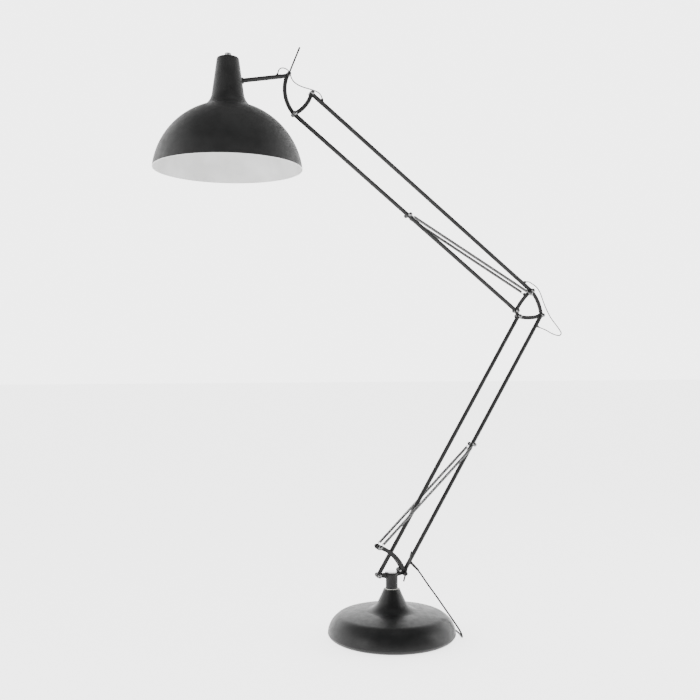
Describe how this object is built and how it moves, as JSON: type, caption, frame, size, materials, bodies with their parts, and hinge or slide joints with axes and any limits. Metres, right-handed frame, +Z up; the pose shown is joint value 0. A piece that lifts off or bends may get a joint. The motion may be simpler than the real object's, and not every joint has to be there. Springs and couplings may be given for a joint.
{
  "type": "adjustable arm floor lamp",
  "caption": "Free-standing floor lamp with a weighted round base, swivelling spring-balanced parallelogram arms and a tilting bell shade.",
  "frame": {"origin": "on the floor, at the middle of the round base", "axes": "+Z up; the arms swing in the XZ plane; the shade hangs towards -X; -Y is the side with the clamp levers"},
  "size_m": [1.2669, 0.4933, 1.7156],
  "materials": {
    "black_coat": "matt black powder coat on steel",
    "black_rods": "matt black powder coat on steel tube",
    "black_levers": "satin black",
    "cast_weight": "as cast",
    "pad_rubber": "flat",
    "plain_steel": "turned",
    "washer_nylon": "natural nylon",
    "satin_cap": "satin",
    "chrome_fasteners": "bright nickel",
    "spring_steel": "bright plated spring wire",
    "black_rubber": "matt",
    "cord_black": "soft PVC",
    "plug_plastic": "moulded",
    "shade_black": "matt black powder coat outside, spun aluminium",
    "shade_white": "satin white enamel",
    "holder_plastic": "moulded",
    "bulb_glass": "opal"
  },
  "bodies": {
    "base": {"base_shell": "black_coat", "base_weight": "cast_weight", "base_pad": "pad_rubber", "swivel_spindle": "plain_steel", "spindle_nut": "plain_steel", "swivel_washer": "washer_nylon", "mains_cord": "cord_black", "cord_coil": "cord_black", "plug_body": "plug_plastic", "plug_pins": "chrome_fasteners"},
    "turret": {"turret": "black_coat", "turret_cap": "satin_cap", "spring_lever_plates": "black_coat", "lever_screws": "chrome_fasteners", "lower_anchor_pin": "chrome_fasteners", "lower_spring_near": "spring_steel", "lower_spring_far": "spring_steel", "turret_bolts": "chrome_fasteners", "turret_nut": "chrome_fasteners"},
    "base_lever": {"base_clamp_lever": "black_levers"},
    "lower_right_rod": {"lower_right_tube": "black_rods", "lower_right_forks": "black_rods", "lower_catch_pin": "chrome_fasteners", "lower_glands": "black_rubber", "mains_relief": "black_rubber"},
    "lower_left_rod": {"lower_left_tube": "black_rods", "lower_left_forks": "black_rods"},
    "elbow": {"elbow_bracket": "black_coat", "elbow_bolts": "chrome_fasteners", "elbow_nuts": "chrome_fasteners", "upper_anchor_pin": "chrome_fasteners", "upper_spring_near": "spring_steel", "upper_spring_far": "spring_steel", "elbow_cable": "cord_black"},
    "upper_top_rod": {"upper_top_tube": "black_rods", "upper_top_forks": "black_rods", "upper_glands": "black_rubber"},
    "upper_low_rod": {"upper_low_tube": "black_rods", "upper_low_forks": "black_rods", "upper_catch_pin": "chrome_fasteners"},
    "head": {"head_bracket": "black_coat", "head_bolts": "chrome_fasteners", "head_nuts": "chrome_fasteners", "head_cable": "cord_black"},
    "head_lever": {"head_clamp_lever": "black_levers"},
    "shade_arm": {"shade_arm_tube": "black_rods", "shade_arm_fork": "black_rods", "arm_nipple": "plain_steel", "nipple_nut": "plain_steel", "cable_clip": "black_rubber"},
    "shade": {"shade_dome": "shade_black", "shade_liner": "shade_white", "shade_neck": "shade_black", "neck_boss": "shade_black", "switch_body": "holder_plastic", "holder_stem": "plain_steel", "lamp_holder": "holder_plastic", "bulb": "bulb_glass"},
    "switch": {"switch_knob": "chrome_fasteners"}
  },
  "joints": [
    {"name": "swivel", "type": "hinge", "parent": "base", "child": "turret", "pos_m": [0, 0, 0.146], "axis": [0, 0, 1], "range_deg": [-90, 90], "deforming": ["mains_cord"]},
    {"name": "base_clamp_turn", "type": "hinge", "parent": "turret", "child": "base_lever", "pos_m": [0.037, 0, 0.19], "axis": [0, 1, 0], "range_deg": [-50, 50]},
    {"name": "lower_arm", "type": "hinge", "parent": "turret", "child": "lower_right_rod", "pos_m": [0.037, 0, 0.19], "axis": [0, 1, 0], "range_deg": [-23, 10], "deforming": ["lower_spring_near", "lower_spring_far", "elbow_cable", "mains_relief"]},
    {"name": "lower_arm_link", "type": "hinge", "parent": "turret", "child": "lower_left_rod", "pos_m": [-0.0425, 0, 0.186], "axis": [0, 1, 0], "range_deg": [-23, 10]},
    {"name": "elbow_level", "type": "hinge", "parent": "lower_right_rod", "child": "elbow", "pos_m": [0.49547, 0, 0.96215], "axis": [0, 1, 0], "range_deg": [-10, 23]},
    {"name": "upper_arm", "type": "hinge", "parent": "elbow", "child": "upper_top_rod", "pos_m": [0.46047, 0, 1.03815], "axis": [0, 1, 0], "range_deg": [-28, 20], "deforming": ["upper_spring_near", "upper_spring_far"]},
    {"name": "upper_arm_link", "type": "hinge", "parent": "elbow", "child": "upper_low_rod", "pos_m": [0.40847, 0, 0.97515], "axis": [0, 1, 0], "range_deg": [-28, 20]},
    {"name": "head_level", "type": "hinge", "parent": "upper_top_rod", "child": "head", "pos_m": [-0.2462, 0, 1.59225], "axis": [0, 1, 0], "range_deg": [-20, 28]},
    {"name": "head_clamp_turn", "type": "hinge", "parent": "head", "child": "head_lever", "pos_m": [-0.3182, 0, 1.63725], "axis": [0, 1, 0], "range_deg": [-50, 40]},
    {"name": "head_tilt", "type": "hinge", "parent": "head", "child": "shade_arm", "pos_m": [-0.3182, 0, 1.63725], "axis": [0, 1, 0], "range_deg": [-10, 60], "deforming": ["head_cable"]},
    {"name": "shade_turn", "type": "hinge", "parent": "shade_arm", "child": "shade", "pos_m": [-0.45067, 0, 1.61126], "axis": [-0.9813, 0, -0.1925], "range_deg": [-40, 40]},
    {"name": "switch_turn", "type": "hinge", "parent": "shade", "child": "switch", "pos_m": [-0.489, 0, 1.6815], "axis": [0, 0, 1], "range_deg": [0, 90]}
  ],
  "couplings": [
    {"joint": "lower_arm_link", "follows": "lower_arm", "ratio": 1},
    {"joint": "elbow_level", "follows": "lower_arm", "ratio": -1},
    {"joint": "upper_arm_link", "follows": "upper_arm", "ratio": 1},
    {"joint": "head_level", "follows": "upper_arm", "ratio": -1}
  ]
}
